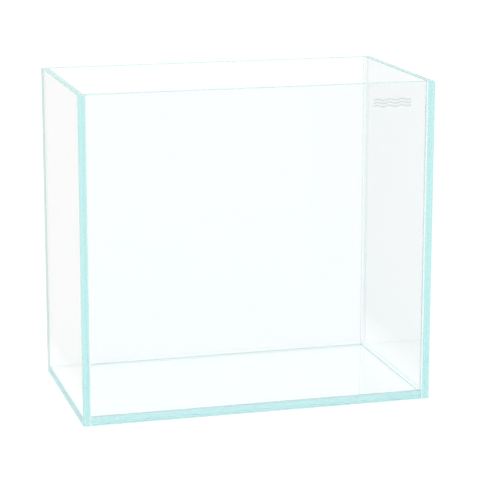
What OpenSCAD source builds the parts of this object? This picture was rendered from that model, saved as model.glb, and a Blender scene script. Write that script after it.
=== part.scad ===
// Rimless glass aquarium tank, open at the top, glued from five panes with clear silicone.
// +X is to the right, +Y to the back and +Z up. The origin is the middle of the underside.
// The side panes run over the full depth, the front and back panes stand between them, and the
// base pane lies inside the four walls, level with their lower edges.

/* [Tank] */
// Outer width, over both side panes
tank_w = 300; // [200:5:450]
// Outer depth, from the front face to the back face
tank_d = 168; // [120:2:300]
// Outer height, from the surface it stands on to the rim
tank_h = 273; // [160:1:360]

/* [Glass] */
// Thickness of the four wall panes
wall_t = 6; // [4:0.5:10]
// Thickness of the base pane
base_t = 6; // [4:0.5:12]
// Width of the small bevel ground along every edge of a pane
arris = 0.3; // [0.2:0.1:0.8]

/* [Silicone] */
// Thickness of the silicone in each joint between two panes
bond_t = 0.6; // [0.3:0.1:1.2]
// How far the silicone stays back from the outer faces
bond_recess = 0.5; // [0.3:0.1:1]
// How far each tooled inner bead reaches along the glass
bead_leg = 1.2; // [0.8:0.1:4]
// Gap between the rim and the top of the upright beads
bead_top_gap = 1; // [0:0.5:6]

/* [Badge] */
// Length of the printed mark
badge_w = 32.5; // [20:0.5:50]
// Height of one wave of the mark, from trough to crest
wave_rise = 1.2; // [0.6:0.1:2]
// Height of each printed stripe
stripe_h = 1.1; // [0.8:0.1:2]
// Distance between the stripes' centre lines
stripe_pitch = 2.6; // [2.5:0.1:5]
// Thickness of the print
badge_t = 0.12; // [0.1:0.01:0.2]
// Distance from the outer right face to the mark
badge_side_gap = 21; // [12:1:60]
// Distance from the rim to the top of the mark
badge_top_gap = 12.5; // [8:0.5:60]

/* [Hidden] */

// Clear space inside the walls
inner_w = tank_w - 2 * wall_t;
inner_d = tank_d - 2 * wall_t;
// The front and back panes, with a joint at each end
face_w = inner_w - 2 * bond_t;
// The base pane, with a joint all round
base_w = inner_w - 2 * bond_t;
base_d = inner_d - 2 * bond_t;
bond_h = tank_h - 2 * bond_recess;

// The bead's section is a right angle with a hollow front. The hollow is an arc that meets each
// leg at its tip, about a centre this far outside the square on the two legs.
bead_hollow_shift = 0.4 * bead_leg;
bead_centre = bead_leg + bead_hollow_shift;
bead_r = norm([bead_centre, bead_hollow_shift]);

wave_count = 3;
wave_steps = 16;
stripe_count = 3;
badge_h = (stripe_count - 1) * stripe_pitch + wave_rise + stripe_h;
$fn = 64;

// Section of a pane with its four corners bevelled
module arris_section(w, h) {
    polygon([
        [arris, 0], [w - arris, 0], [w, arris], [w, h - arris],
        [w - arris, h], [arris, h], [0, h - arris], [0, arris]
    ]);
}

// Pane of size w by d by h, bevelled along all twelve edges, with its lowest corner at 0
module pane(w, d, h) {
    intersection() {
        linear_extrude(h) arris_section(w, d);
        translate([0, d, 0]) rotate([90, 0, 0]) linear_extrude(d) arris_section(w, h);
        rotate([90, 0, 90]) linear_extrude(w) arris_section(d, h);
    }
}

// Wall pane that stands between the side panes, at the front (y_side = -1) or the back
module face_pane(y_side) {
    color("#dff6f4", 0.35)
        translate([-face_w / 2, y_side > 0 ? inner_d / 2 : -tank_d / 2, 0])
            pane(face_w, wall_t, tank_h);
}

// Wall pane over the full depth, at the left (x_side = -1) or the right
module side_pane(x_side) {
    color("#c5f0ee", 0.45)
        translate([x_side > 0 ? inner_w / 2 : -tank_w / 2, -tank_d / 2, 0])
            pane(wall_t, tank_d, tank_h);
}

module base_pane() {
    color("#bdeeea", 0.45) translate([-base_w / 2, -base_d / 2, 0]) pane(base_w, base_d, base_t);
}

// Silicone between a side pane and the end of the front or back pane
module upright_bond(x_side, y_side) {
    color("#d3dcdc", 0.8)
        translate([
            x_side > 0 ? face_w / 2 : -inner_w / 2,
            y_side > 0 ? inner_d / 2 : -tank_d / 2 + bond_recess,
            bond_recess
        ])
            cube([bond_t, wall_t - bond_recess, bond_h]);
}

// Silicone between the base pane and the front or back pane
module long_base_bond(y_side) {
    color("#d3dcdc", 0.8)
        translate([-base_w / 2, y_side > 0 ? base_d / 2 : -inner_d / 2, bond_recess])
            cube([base_w, bond_t, base_t - bond_recess]);
}

// Silicone between the base pane and a side pane
module short_base_bond(x_side) {
    color("#d3dcdc", 0.8)
        translate([x_side > 0 ? base_w / 2 : -inner_w / 2, -inner_d / 2, bond_recess])
            cube([bond_t, inner_d, base_t - bond_recess]);
}

// Section of an inner bead, with its right angle at 0
module bead_section() {
    difference() {
        square(bead_leg);
        translate([bead_centre, bead_centre]) circle(bead_r);
    }
}

// Turn that points a bead's legs from this inner corner towards the middle of the tank
function corner_turn(x_side, y_side) = x_side > 0 ? (y_side > 0 ? 180 : 90) : (y_side > 0 ? 270 : 0);

module upright_bead_body(x_side, y_side) {
    translate([x_side * inner_w / 2, y_side * inner_d / 2, base_t])
        rotate(corner_turn(x_side, y_side))
            linear_extrude(tank_h - bead_top_gap - base_t) bead_section();
}

// Bead in an upright inner corner, from the base pane to just under the rim
module upright_bead(x_side, y_side) {
    color("#c9d2d2", 0.8) upright_bead_body(x_side, y_side);
}

// Straight bead of this length that lies in the inner edge of the base, centred on x = 0, with
// its upright leg on the plane y = 0 and its other leg towards -y
module lying_bead(length) {
    translate([-length / 2, 0, 0]) rotate([90, 0, 90]) linear_extrude(length) mirror([1, 0]) bead_section();
}

// Block in plan that cuts both ends of a lying bead at 45 degrees
module mitre_block(length) {
    linear_extrude(2 * bead_leg)
        polygon([
            [-length / 2, 0], [length / 2, 0],
            [length / 2 - 2 * bead_leg, -2 * bead_leg], [-length / 2 + 2 * bead_leg, -2 * bead_leg]
        ]);
}

// Bead between the base pane and one wall, mitred at both ends and cut round the upright beads
module base_bead(length, wall_distance, turn) {
    color("#c9d2d2", 0.8)
        difference() {
            rotate(turn) translate([0, wall_distance, base_t])
                intersection() {
                    lying_bead(length);
                    mitre_block(length);
                }
            for (x_side = [-1, 1], y_side = [-1, 1]) upright_bead_body(x_side, y_side);
        }
}

// Point on a wave that runs along x, at the share s of its length
function wave_point(s, y) = [s * badge_w, y + wave_rise / 2 * sin(360 * wave_count * s)];

// One printed stripe: a wave of constant height
module wave_stripe() {
    steps = wave_count * wave_steps;
    polygon([
        for (i = [0:steps]) wave_point(i / steps, -stripe_h / 2),
        for (i = [steps:-1:0]) wave_point(i / steps, stripe_h / 2)
    ]);
}

// Generic mark of three water ripples on the front face, near its upper right corner
module ripple_badge() {
    color("#b8bec0")
        translate([
            tank_w / 2 - badge_side_gap - badge_w,
            -tank_d / 2,
            tank_h - badge_top_gap - badge_h + (wave_rise + stripe_h) / 2
        ])
            rotate([90, 0, 0]) linear_extrude(badge_t)
                for (i = [0:stripe_count - 1]) translate([0, i * stripe_pitch]) wave_stripe();
}

face_pane(-1);  // front_pane
face_pane(1);  // back_pane
side_pane(-1);  // left_pane
side_pane(1);  // right_pane
base_pane();
upright_bond(-1, -1);  // bond_front_left
upright_bond(1, -1);  // bond_front_right
upright_bond(-1, 1);  // bond_back_left
upright_bond(1, 1);  // bond_back_right
long_base_bond(-1);  // bond_base_front
long_base_bond(1);  // bond_base_back
short_base_bond(-1);  // bond_base_left
short_base_bond(1);  // bond_base_right
upright_bead(-1, -1);  // seal_front_left
upright_bead(1, -1);  // seal_front_right
upright_bead(-1, 1);  // seal_back_left
upright_bead(1, 1);  // seal_back_right
base_bead(inner_w, inner_d / 2, 180);  // seal_base_front
base_bead(inner_w, inner_d / 2, 0);  // seal_base_back
base_bead(inner_d, inner_w / 2, 90);  // seal_base_left
base_bead(inner_d, inner_w / 2, -90);  // seal_base_right
ripple_badge();
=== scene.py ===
"""Looks of a rimless glass aquarium tank: low-iron glass, silicone seams and a printed mark."""
import math

import bmesh
import bpy
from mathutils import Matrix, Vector


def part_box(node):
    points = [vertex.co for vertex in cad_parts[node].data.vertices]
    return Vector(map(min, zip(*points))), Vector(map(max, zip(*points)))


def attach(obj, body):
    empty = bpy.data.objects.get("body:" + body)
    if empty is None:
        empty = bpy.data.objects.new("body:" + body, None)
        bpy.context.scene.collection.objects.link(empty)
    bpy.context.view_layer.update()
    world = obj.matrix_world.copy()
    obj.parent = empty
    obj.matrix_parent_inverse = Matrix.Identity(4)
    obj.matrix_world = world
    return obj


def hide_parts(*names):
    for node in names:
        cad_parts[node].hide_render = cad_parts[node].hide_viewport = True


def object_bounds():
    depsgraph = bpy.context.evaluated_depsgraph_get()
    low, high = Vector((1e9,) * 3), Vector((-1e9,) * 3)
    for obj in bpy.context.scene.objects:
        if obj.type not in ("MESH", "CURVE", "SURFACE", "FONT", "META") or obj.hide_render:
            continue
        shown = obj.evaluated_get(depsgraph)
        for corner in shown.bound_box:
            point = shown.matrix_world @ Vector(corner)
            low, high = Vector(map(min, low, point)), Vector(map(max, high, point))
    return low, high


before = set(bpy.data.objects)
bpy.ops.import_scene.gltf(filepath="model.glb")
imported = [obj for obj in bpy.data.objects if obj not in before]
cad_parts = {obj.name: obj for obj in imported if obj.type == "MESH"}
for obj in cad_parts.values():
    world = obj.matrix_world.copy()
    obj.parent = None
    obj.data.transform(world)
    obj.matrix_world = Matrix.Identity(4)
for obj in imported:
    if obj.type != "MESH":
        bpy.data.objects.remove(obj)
cad_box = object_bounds()

MM = 0.001

# The camera, in the tank's frame. The distance and offsets are shares of the tank's width.
CAMERA_AZIMUTH = -15.3
CAMERA_ELEVATION = 12.7
CAMERA_DISTANCE = 5.71
CAMERA_RIGHT = 0.018
CAMERA_UP = -0.0235
SENSOR_WIDTH = 36.0
LENS = 149.2

# The axes of a Vector, which way each side lies along its axis, and the four upright corners.
X, Y, Z = 0, 1, 2
SIGN = {"left": -1, "right": 1, "front": -1, "back": 1}
CORNERS = [(side_y, side_x) for side_y in ("front", "back") for side_x in ("left", "right")]

# What each pane lets through: its broad faces seen square on, its broad faces seen at a low angle,
# where painted shade greys them in place of reflections, and its ends.
PANES = {
    "front_pane": ((0.95, 0.95, 0.955), (0.95, 0.95, 0.955), (0.95, 0.95, 0.95)),
    "back_pane": ((0.935, 0.94, 0.945), (0.935, 0.94, 0.945), (0.95, 0.95, 0.95)),
    "left_pane": ((1.0, 1.0, 1.0), (0.50, 0.42, 0.37), (0.90, 0.90, 0.90)),
    "right_pane": ((1.0, 1.0, 1.0), (0.24, 0.21, 0.22), (0.90, 0.90, 0.90)),
    "base_pane": ((1.0, 1.0, 1.0), (1.0, 1.0, 1.0), (1.0, 1.0, 1.0)),
}
# The tint inside the glass, and how much of it there is to the metre.
TINT = (0.12, 0.8, 0.79)
TINT_STRENGTH = 3.8
# How quickly the painted shade on the panes fades as a face turns to the eye, and the heights
# where it starts and where it has its full strength.
PAINTED_SHADE_FALLOFF = 3.0
PAINTED_SHADE_FROM = 8 * MM
PAINTED_SHADE_FULL = 40 * MM

# How squarely a face looks along an axis, from 0 to 1, tells a pane's broad faces from the others,
# and its upward faces with their bevels. Those are the rim no further than this below the top.
BROAD_SQUARENESS = 0.9
RIM_SQUARENESS = 0.6
RIM_DEPTH = 1 * MM

# Worked edges of the glass: the roughness of the ends and what the rim adds to it, the colour of
# the rim and how much of it scatters light. Then the grit that they were ground with: its grains to
# the metre, and how much of the roughness and the frost varies with it.
END_ROUGHNESS = 0.12
RIM_ROUGHNESS = 0.13
RIM_COLOUR = (0.84, 0.98, 0.96)
RIM_FROST = 0.32
GRIT_SCALE = 2500
GRIT_SPREAD = 0.2

# How strongly glass and silicone bend light.
GLASS_IOR = 1.52
SILICONE_IOR = 1.41

# Silicone reaches this far into the glass it wets, so that no film of air is left between them.
WETTING = 0.02 * MM

# How deep the hollow in a joint's outer face is, how far the centre of a bead's hollow lies outside
# the square on its two legs, as a share of a leg, and how many steps each hollow has.
BOND_HOLLOW = 0.15 * MM
BEAD_HOLLOW = 0.4
HOLLOW_STEPS = 8

# How unevenly the silicone was laid: how far a joint's face varies in all and a bead's legs to
# either side, the length of one radian of the slow and of the quick waves, and the slow waves'
# share. The quick waves' phase is a multiple of the slow waves', and a bead's comes after that of
# its joint, so that no two seams match.
BOND_WAVER = 0.04 * MM
BEAD_WAVER = 0.05 * MM
SLOW_WAVE = 23 * MM
QUICK_WAVE = 7.3 * MM
SLOW_SHARE = 0.7
QUICK_PHASE = 2.1
BEAD_PHASE = 0.5

# The seams' meshes have a ring of points about this often, and their edges show from this angle.
RING_PITCH = 5 * MM
SHARP_ANGLE = math.radians(35)

# Silicone's skin: its colour, how much of it scatters light and how much that varies, its least
# and greatest roughness, the strength and depth of its bumps, and its clouds to the metre.
SKIN_COLOUR = (0.97, 0.97, 0.965)
SKIN_MILKINESS = 0.88
SKIN_CLOUDINESS = 0.3
SKIN_ROUGHNESS = (0.1, 0.3)
SKIN_BUMP = (0.3, 0.05 * MM)
SKIN_SCALE = 600

# Tiny bubbles in the joints: what the densest clouds let through, and their clouds to the metre.
BUBBLE_COLOUR = (0.985, 0.995, 0.995)
BUBBLE_SCALE = 100

# The mark's ink: its colour where it lies thick and thin, its roughness there, the strength and
# depth of its bumps, and the screen's dots to the metre.
INK_THICK = (0.56, 0.59, 0.60)
INK_THIN = (0.68, 0.71, 0.71)
INK_ROUGHNESS = (0.3, 0.55)
INK_BUMP = (0.4, 0.02 * MM)
INK_SCALE = 1800

# The floor is a lit table: how wide it is, how far it lies below the tank, how pale it is, and how
# much light comes up through it.
FLOOR_SIZE = 24.0
FLOOR_GAP = 0.1 * MM
FLOOR_PALENESS = 0.50
FLOOR_GLOW = 0.52

# The studio: white all round, and a soft light overhead with its spread and its tilt.
STUDIO_STRENGTH = 1.12
OVERHEAD_STRENGTH = 0.3
OVERHEAD_SPREAD = math.radians(75)
OVERHEAD_TILT = math.radians(-20)
# Light passes many faces on its way along the inside of a pane.
BOUNCES = 160


def waver(place, phase):
    """Hand-laid unevenness from -1 to 1 at this place, in metres, along a seam."""
    slow = math.sin(place / SLOW_WAVE + phase)
    quick = math.sin(place / QUICK_WAVE + QUICK_PHASE * phase)
    return SLOW_SHARE * slow + (1 - SLOW_SHARE) * quick


def shares(length):
    """Shares from 0 to 1 along a seam of this length, one for each ring of its mesh."""
    steps = max(2, round(length / RING_PITCH))
    return [i / steps for i in range(steps + 1)]


def loft(name, rings, open_strips, node):
    """A closed piece of silicone through these rings of points, in place of a CAD node.

    open_strips are the strips between the rings' points that face the air, as the two ends do. The
    others touch glass or other silicone.
    """
    bm = bmesh.new()
    loops = [[bm.verts.new(point) for point in ring] for ring in rings]
    count = len(rings[0])
    for near, far in zip(loops, loops[1:]):
        for i in range(count):
            j = (i + 1) % count
            face = bm.faces.new((near[i], near[j], far[j], far[i]))
            face.smooth = True
            face.material_index = 0 if i in open_strips else 1
    bm.faces.new(loops[0])
    bm.faces.new(loops[-1])
    bmesh.ops.recalc_face_normals(bm, faces=bm.faces)
    for edge in bm.edges:
        edge.smooth = edge.calc_face_angle() < SHARP_ANGLE
    mesh = bpy.data.meshes.new(name)
    bm.to_mesh(mesh)
    bm.free()
    for material in (SKIN, WETTED):
        mesh.materials.append(material)
    piece = bpy.data.objects.new(name, mesh)
    bpy.context.scene.collection.objects.link(piece)
    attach(piece, "root")
    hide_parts(node)
    return piece


def bond(node, along, across, outward, phase):
    """Joint silicone in its CAD node's box, hollow on the face at its outward end.

    along and across are axes and outward is (axis, sign). The hollow is a parabola.
    """
    low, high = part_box(node)
    depth, sign = outward
    inner, outer = (low[depth], high[depth]) if sign > 0 else (high[depth], low[depth])
    rings = []
    for share in shares(high[along] - low[along]):
        place = low[along] + share * (high[along] - low[along])
        edge = outer - sign * BOND_WAVER * (1 + waver(place, phase)) / 2
        ring = []
        for step in range(HOLLOW_STEPS + 1):
            s = step / HOLLOW_STEPS
            point = Vector()
            point[along] = place
            point[across] = low[across] - WETTING + s * (high[across] - low[across] + 2 * WETTING)
            point[depth] = edge - sign * BOND_HOLLOW * 4 * s * (1 - s)
            ring.append(point)
        for end in (ring[-1], ring[0]):
            point = end.copy()
            point[depth] = inner - sign * WETTING
            ring.append(point)
        rings.append(ring)
    piece = loft(node.replace("bond", "joint"), rings, range(HOLLOW_STEPS), node)


def bead_arc(leg):
    """Distance of the hollow's centre from both walls, and its radius, for legs this long."""
    return (1 + BEAD_HOLLOW) * leg, math.hypot(1 + BEAD_HOLLOW, BEAD_HOLLOW) * leg


def bead_section(leg):
    """Distances from the two walls around a hollow-faced bead whose legs are this long.

    The section starts at the right angle. The hollow's first and last points are the legs' tips,
    which reach into the glass as the right angle does.
    """
    centre, radius = bead_arc(leg)
    tip = math.asin((centre - leg) / radius)
    section = [(-WETTING, -WETTING)]
    for step in range(HOLLOW_STEPS + 1):
        turn = tip + (math.pi / 2 - 2 * tip) * step / HOLLOW_STEPS
        section.append((centre - radius * math.sin(turn), centre - radius * math.cos(turn)))
    section[1] = (section[1][0], -WETTING)
    section[-1] = (-WETTING, section[-1][1])
    return section


def bead_height(distance, leg):
    """Height of a lying bead's hollow face at this distance from its wall."""
    centre, radius = bead_arc(leg)
    if distance >= leg:
        return 0.0
    return centre - math.sqrt(radius**2 - (centre - distance) ** 2)


def bead(name, rings, node):
    """A bead through these rings of sections, whose hollow face meets the air."""
    loft(name, rings, range(1, HOLLOW_STEPS + 1), node)


def upright_bead(side_y, side_x, phase):
    """Bead in an upright corner. It stands on the beads of the base."""
    node = f"seal_{side_y}_{side_x}"
    low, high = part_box(node)
    length = high.z - low.z
    leg = high.x - low.x
    corner_x = high.x if SIGN[side_x] > 0 else low.x
    corner_y = high.y if SIGN[side_y] > 0 else low.y
    rings = []
    for share in shares(length):
        ring = []
        for u, v in bead_section(leg - BEAD_WAVER * (1 + waver(share * length, phase))):
            foot = low.z + bead_height(max(min(u, v), 0), leg) - WETTING
            ring.append(Vector((
                corner_x - SIGN[side_x] * u,
                corner_y - SIGN[side_y] * v,
                foot + share * (high.z - foot),
            )))
        rings.append(ring)
    bead(f"bead_{side_y}_{side_x}", rings, node)


def base_bead(side, phase):
    """Bead between the base pane and one wall, mitred at both ends."""
    node = f"seal_base_{side}"
    low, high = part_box(node)
    leg = high.z - low.z
    depth, along = (X, Y) if side in ("left", "right") else (Y, X)
    wall = high[depth] if SIGN[side] > 0 else low[depth]
    length = high[along] - low[along]
    rings = []
    for share in shares(length):
        ring = []
        for u, v in bead_section(leg - BEAD_WAVER * (1 + waver(share * length, phase))):
            point = Vector()
            point[along] = (2 * share - 1) * (length / 2 - u)
            point[depth] = wall - SIGN[side] * u
            point.z = low.z + v
            ring.append(point)
        rings.append(ring)
    bead(f"bead_base_{side}", rings, node)


def new_material(name):
    """An empty node material, with its output node."""
    material = bpy.data.materials.new(name)
    material.use_nodes = True
    material.node_tree.nodes.clear()
    output = material.node_tree.nodes.new("ShaderNodeOutputMaterial")
    return material, material.node_tree, output


def maths(tree, operation, first, second=None, third=None):
    """A Math node with these inputs, each a socket or a number."""
    node = tree.nodes.new("ShaderNodeMath")
    node.operation = operation
    for place, value in enumerate((first, second, third)):
        if isinstance(value, bpy.types.NodeSocket):
            tree.links.new(value, node.inputs[place])
        elif value is not None:
            node.inputs[place].default_value = value
    return node.outputs[0]


def spread(tree, share, low, high):
    """A number that goes from low to high as this share, a socket, goes from 0 to 1."""
    return maths(tree, "MULTIPLY_ADD", share, high - low, low)


def grain(tree, coordinates, scale):
    """Noise from 0 to 1, with this many grains to the metre."""
    noise = tree.nodes.new("ShaderNodeTexNoise")
    noise.inputs["Scale"].default_value = scale
    tree.links.new(coordinates.outputs["Object"], noise.inputs["Vector"])
    return noise.outputs["Fac"]


def bump(tree, height, strength, depth, shader):
    """Makes this height, from 0 to 1, show as bumps on the shader's surface. Returns the node."""
    node = tree.nodes.new("ShaderNodeBump")
    node.inputs["Strength"].default_value = strength
    node.inputs["Distance"].default_value = depth
    tree.links.new(height, node.inputs["Height"])
    tree.links.new(node.outputs["Normal"], shader.inputs["Normal"])
    return node


def surface_masks(tree, coordinates, broad_axis):
    """Masks of a pane's broad faces, its rim with the bevels there, and its painted shade."""
    unsigned = tree.nodes.new("ShaderNodeVectorMath")
    unsigned.operation = "ABSOLUTE"
    tree.links.new(coordinates.outputs["Normal"], unsigned.inputs[0])
    squareness = tree.nodes.new("ShaderNodeSeparateXYZ")
    tree.links.new(unsigned.outputs[0], squareness.inputs[0])
    broad = maths(tree, "GREATER_THAN", squareness.outputs[broad_axis], BROAD_SQUARENESS)
    place = tree.nodes.new("ShaderNodeSeparateXYZ")
    tree.links.new(coordinates.outputs["Object"], place.inputs[0])
    upward = maths(tree, "GREATER_THAN", squareness.outputs[Z], RIM_SQUARENESS)
    at_top = maths(tree, "GREATER_THAN", place.outputs[Z], cad_box[1].z - RIM_DEPTH)
    rim = maths(tree, "MULTIPLY", upward, at_top)
    # Painted shade: it grows as a face turns away from the eye, from a little above the pane's
    # foot.
    angle = tree.nodes.new("ShaderNodeLayerWeight")
    low_angle = maths(tree, "POWER", angle.outputs["Facing"], PAINTED_SHADE_FALLOFF)
    risen = tree.nodes.new("ShaderNodeMapRange")
    risen.inputs["From Min"].default_value = PAINTED_SHADE_FROM
    risen.inputs["From Max"].default_value = PAINTED_SHADE_FULL
    tree.links.new(place.outputs[Z], risen.inputs["Value"])
    return broad, rim, maths(tree, "MULTIPLY", low_angle, risen.outputs["Result"])


def blend(tree, mask, without, within):
    """A colour: without where the mask is 0, within where it's 1. Each is a socket or a colour."""
    mix = tree.nodes.new("ShaderNodeMix")
    mix.data_type = "RGBA"
    tree.links.new(mask, mix.inputs["Factor"])
    for name, value in (("A", without), ("B", within)):
        if isinstance(value, bpy.types.NodeSocket):
            tree.links.new(value, mix.inputs[name])
        else:
            mix.inputs[name].default_value = (*value, 1)
    return mix.outputs["Result"]


def glass_material(name, broad_axis, clarity, painted_shade, end_clarity):
    """Low-iron glass with smoothly ground ends and a lightly frosted rim."""
    material, tree, output = new_material(name)
    coordinates = tree.nodes.new("ShaderNodeTexCoord")
    broad, rim, painted_shade_mask = surface_masks(tree, coordinates, broad_axis)
    grit = grain(tree, coordinates, GRIT_SCALE)
    shader = tree.nodes.new("ShaderNodeBsdfPrincipled")
    # Painted shade: the broad faces are darker where seen at a low angle, most on the side panes.
    faces = blend(tree, painted_shade_mask, clarity, painted_shade)
    colour = blend(tree, rim, blend(tree, broad, end_clarity, faces), RIM_COLOUR)
    tree.links.new(colour, shader.inputs["Base Color"])
    shader.inputs["IOR"].default_value = GLASS_IOR
    worked = maths(tree, "MULTIPLY", maths(tree, "SUBTRACT", 1.0, broad), END_ROUGHNESS)
    worked = maths(tree, "MULTIPLY_ADD", rim, RIM_ROUGHNESS, worked)
    uneven = spread(tree, grit, 1 - GRIT_SPREAD / 2, 1 + GRIT_SPREAD / 2)
    tree.links.new(maths(tree, "MULTIPLY", worked, uneven), shader.inputs["Roughness"])
    frost = maths(tree, "MULTIPLY", maths(tree, "MULTIPLY", rim, RIM_FROST), uneven)
    tree.links.new(maths(tree, "SUBTRACT", 1.0, frost), shader.inputs["Transmission Weight"])
    tree.links.new(shader.outputs["BSDF"], output.inputs["Surface"])
    absorption = tree.nodes.new("ShaderNodeVolumeAbsorption")
    absorption.inputs["Color"].default_value = (*TINT, 1)
    absorption.inputs["Density"].default_value = TINT_STRENGTH
    tree.links.new(absorption.outputs["Volume"], output.inputs["Volume"])
    return material


def silicone_shader(name):
    """A material with a Principled shader for clear silicone."""
    material, tree, output = new_material(name)
    shader = tree.nodes.new("ShaderNodeBsdfPrincipled")
    shader.inputs["IOR"].default_value = SILICONE_IOR
    shader.inputs["Transmission Weight"].default_value = 1.0
    tree.links.new(shader.outputs["BSDF"], output.inputs["Surface"])
    return material, tree, shader


def wetted_silicone():
    """Silicone against glass, as smooth as the glass, with faint clouds of bubbles."""
    material, tree, shader = silicone_shader("silicone_on_glass")
    cloud = grain(tree, tree.nodes.new("ShaderNodeTexCoord"), BUBBLE_SCALE)
    shader.inputs["Roughness"].default_value = 0.0
    colour = blend(tree, cloud, (1, 1, 1), BUBBLE_COLOUR)
    tree.links.new(colour, shader.inputs["Base Color"])
    return material


def tooled_silicone():
    """Silicone's skin where it meets the air: satin, milky and a little bumpy."""
    material, tree, shader = silicone_shader("silicone_skin")
    cloud = grain(tree, tree.nodes.new("ShaderNodeTexCoord"), SKIN_SCALE)
    shader.inputs["Base Color"].default_value = (*SKIN_COLOUR, 1)
    tree.links.new(spread(tree, cloud, *SKIN_ROUGHNESS), shader.inputs["Roughness"])
    clearest = 1 - SKIN_MILKINESS + SKIN_CLOUDINESS / 2
    clear = spread(tree, cloud, clearest, clearest - SKIN_CLOUDINESS)
    tree.links.new(clear, shader.inputs["Transmission Weight"])
    bump(tree, cloud, *SKIN_BUMP, shader)
    return material


def ink():
    """Grey printing ink, thicker and glossier in the middle of each of the screen's dots."""
    material, tree, output = new_material("screen_print")
    coordinates = tree.nodes.new("ShaderNodeTexCoord")
    dots = tree.nodes.new("ShaderNodeTexVoronoi")
    dots.inputs["Scale"].default_value = INK_SCALE
    tree.links.new(coordinates.outputs["Object"], dots.inputs["Vector"])
    blot = maths(tree, "MINIMUM", dots.outputs["Distance"], 1.0)
    shader = tree.nodes.new("ShaderNodeBsdfPrincipled")
    tree.links.new(blend(tree, blot, INK_THICK, INK_THIN), shader.inputs["Base Color"])
    tree.links.new(spread(tree, blot, *INK_ROUGHNESS), shader.inputs["Roughness"])
    bump(tree, blot, *INK_BUMP, shader).invert = True
    tree.links.new(shader.outputs["BSDF"], output.inputs["Surface"])
    return material


def paint(node, material):
    """Gives a CAD node a material of this script's, on its object."""
    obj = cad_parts[node]
    for material_slot in obj.material_slots:
        material_slot.link = "OBJECT"
        material_slot.material = material


def make_glass():
    """Gives each pane its glass. A pane's broad faces lie across its thinnest direction."""
    for name, looks in PANES.items():
        low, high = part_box(name)
        thinnest = min((X, Y, Z), key=lambda axis: high[axis] - low[axis])
        paint(name, glass_material(f"glass_{name}", thinnest, *looks))


def make_silicone():
    """A joint and a bead in each upright corner and along each side of the base."""
    for phase, (side_y, side_x) in enumerate(CORNERS):
        bond(f"bond_{side_y}_{side_x}", Z, X, (Y, SIGN[side_y]), phase)
        upright_bead(side_y, side_x, phase + BEAD_PHASE)
    for phase, side in enumerate(("front", "back", "left", "right"), start=len(CORNERS)):
        along, across = (Y, X) if side in ("left", "right") else (X, Y)
        bond(f"bond_base_{side}", along, across, (Z, -1), phase)
        base_bead(side, phase + BEAD_PHASE)


def make_mark():
    """The printed mark. It wets the glass as silicone does, so that no air shows behind it."""
    low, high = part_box("ripple_badge")
    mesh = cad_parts["ripple_badge"].data.copy()
    for vertex in mesh.vertices:
        if vertex.co.y > (low.y + high.y) / 2:
            vertex.co.y += WETTING
    mesh.materials.clear()
    mesh.materials.append(ink())
    piece = bpy.data.objects.new("ripple_print", mesh)
    bpy.context.scene.collection.objects.link(piece)
    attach(piece, "root")
    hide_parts("ripple_badge")


def make_camera():
    """The camera at the photograph's angle, a little aside from the line to the tank's middle."""
    low, high = cad_box
    width = high.x - low.x
    target = Vector((0, 0, (low.z + high.z) / 2))
    turn, rise = math.radians(CAMERA_AZIMUTH), math.radians(CAMERA_ELEVATION)
    ahead = math.cos(rise)
    back = Vector((math.sin(turn) * ahead, -math.cos(turn) * ahead, math.sin(rise)))
    right = Vector((0, 0, 1)).cross(back).normalized()
    up = back.cross(right)
    camera = bpy.data.objects.new("camera", bpy.data.cameras.new("camera"))
    bpy.context.scene.collection.objects.link(camera)
    camera.location = target + width * (
        CAMERA_DISTANCE * back + CAMERA_RIGHT * right + CAMERA_UP * up
    )
    camera.rotation_mode = "QUATERNION"
    camera.rotation_quaternion = (-back).to_track_quat("-Z", "Y")
    camera.data.sensor_width = SENSOR_WIDTH
    camera.data.lens = LENS
    bpy.context.scene.camera = camera


def make_floor():
    """A plain pale floor with soft light coming up through it."""
    mesh = bpy.data.meshes.new("floor")
    corners = [Vector((x, y, 0)) for x, y in ((-1, -1), (1, -1), (1, 1), (-1, 1))]
    mesh.from_pydata([corner * FLOOR_SIZE / 2 for corner in corners], [], [(0, 1, 2, 3)])
    floor = bpy.data.objects.new("floor", mesh)
    floor.location.z = -FLOOR_GAP
    bpy.context.scene.collection.objects.link(floor)
    material, tree, output = new_material("floor")
    shader = tree.nodes.new("ShaderNodeBsdfPrincipled")
    shader.inputs["Base Color"].default_value = (FLOOR_PALENESS,) * 3 + (1,)
    shader.inputs["Roughness"].default_value = 1.0
    shader.inputs["Specular IOR Level"].default_value = 0.0
    shader.inputs["Emission Color"].default_value = (1, 1, 1, 1)
    shader.inputs["Emission Strength"].default_value = FLOOR_GLOW
    tree.links.new(shader.outputs["BSDF"], output.inputs["Surface"])
    mesh.materials.append(material)


def make_light():
    """A white studio with a soft light overhead, and enough bounces for light inside the glass."""
    scene = bpy.context.scene
    world = bpy.data.worlds.new("studio")
    scene.world = world
    world.use_nodes = True
    background = world.node_tree.nodes["Background"]
    background.inputs["Color"].default_value = (1, 1, 1, 1)
    background.inputs["Strength"].default_value = STUDIO_STRENGTH
    scene.view_settings.view_transform = "Standard"
    light = bpy.data.lights.new("overhead", "SUN")
    light.energy = OVERHEAD_STRENGTH
    light.angle = OVERHEAD_SPREAD
    lamp = bpy.data.objects.new("overhead", light)
    lamp.rotation_euler = (OVERHEAD_TILT, OVERHEAD_TILT, 0)
    scene.collection.objects.link(lamp)
    scene.cycles.max_bounces = BOUNCES
    scene.cycles.glossy_bounces = BOUNCES
    scene.cycles.transmission_bounces = BOUNCES
    scene.cycles.blur_glossy = 0.0


make_camera()
make_glass()
SKIN = tooled_silicone()
WETTED = wetted_silicone()
make_silicone()
make_mark()
make_floor()
make_light()
